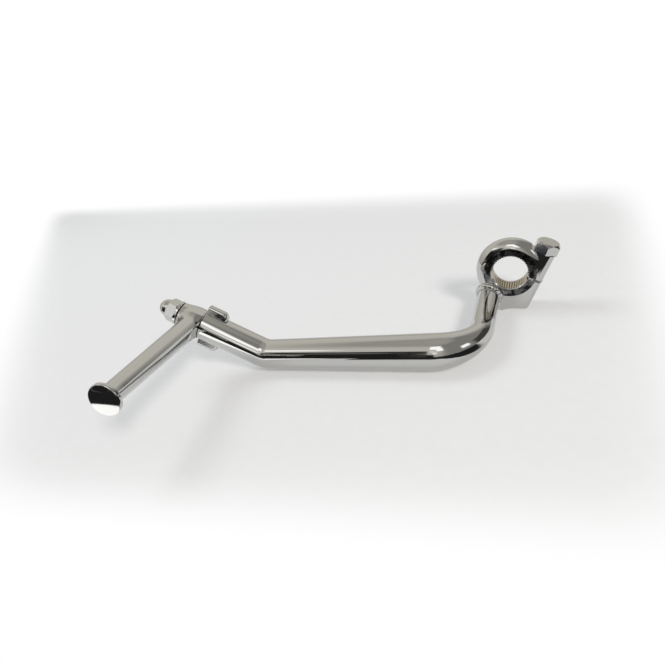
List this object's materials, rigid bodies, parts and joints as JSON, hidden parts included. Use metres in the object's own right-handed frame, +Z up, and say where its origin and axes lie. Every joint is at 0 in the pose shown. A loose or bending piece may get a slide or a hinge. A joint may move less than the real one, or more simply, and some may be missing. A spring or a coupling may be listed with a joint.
{
  "type": "kick start lever",
  "caption": "Chromed kick start lever with a split serrated clamp, a bent round arm and a folding foot pedal on a sprung hinge with a domed nut",
  "frame": {"origin": "centre of the clamp bore", "axes": "+Y along the bore towards the machine, -X along the arm, -Y roughly along the pedal, +Z up as the lever lies on a table"},
  "size_m": [0.2327, 0.1746, 0.0553],
  "materials": {
    "chrome": "bright plated, a little scuffed and pitted",
    "bare_steel": "oiled bare steel inside the hinge"
  },
  "bodies": {
    "lever": {"clamp_head": "chrome", "pinch_bolt": "chrome", "arm": "chrome", "neck_weld": "chrome", "stop_lugs": "chrome", "pivot_stud": "bare_steel", "stop_pin": "bare_steel", "detent_ball": "bare_steel", "detent_spring": "bare_steel", "hub_washer": "chrome", "acorn_nut": "chrome"},
    "pedal": {"pedal": "chrome"}
  },
  "joints": [
    {"name": "pedal_fold", "type": "hinge", "parent": "lever", "child": "pedal", "pos_m": [-0.18296, -0.07326, 0.01337], "axis": [-0.8243, -0.0663, 0.5623], "range_deg": [0, 90]}
  ]
}
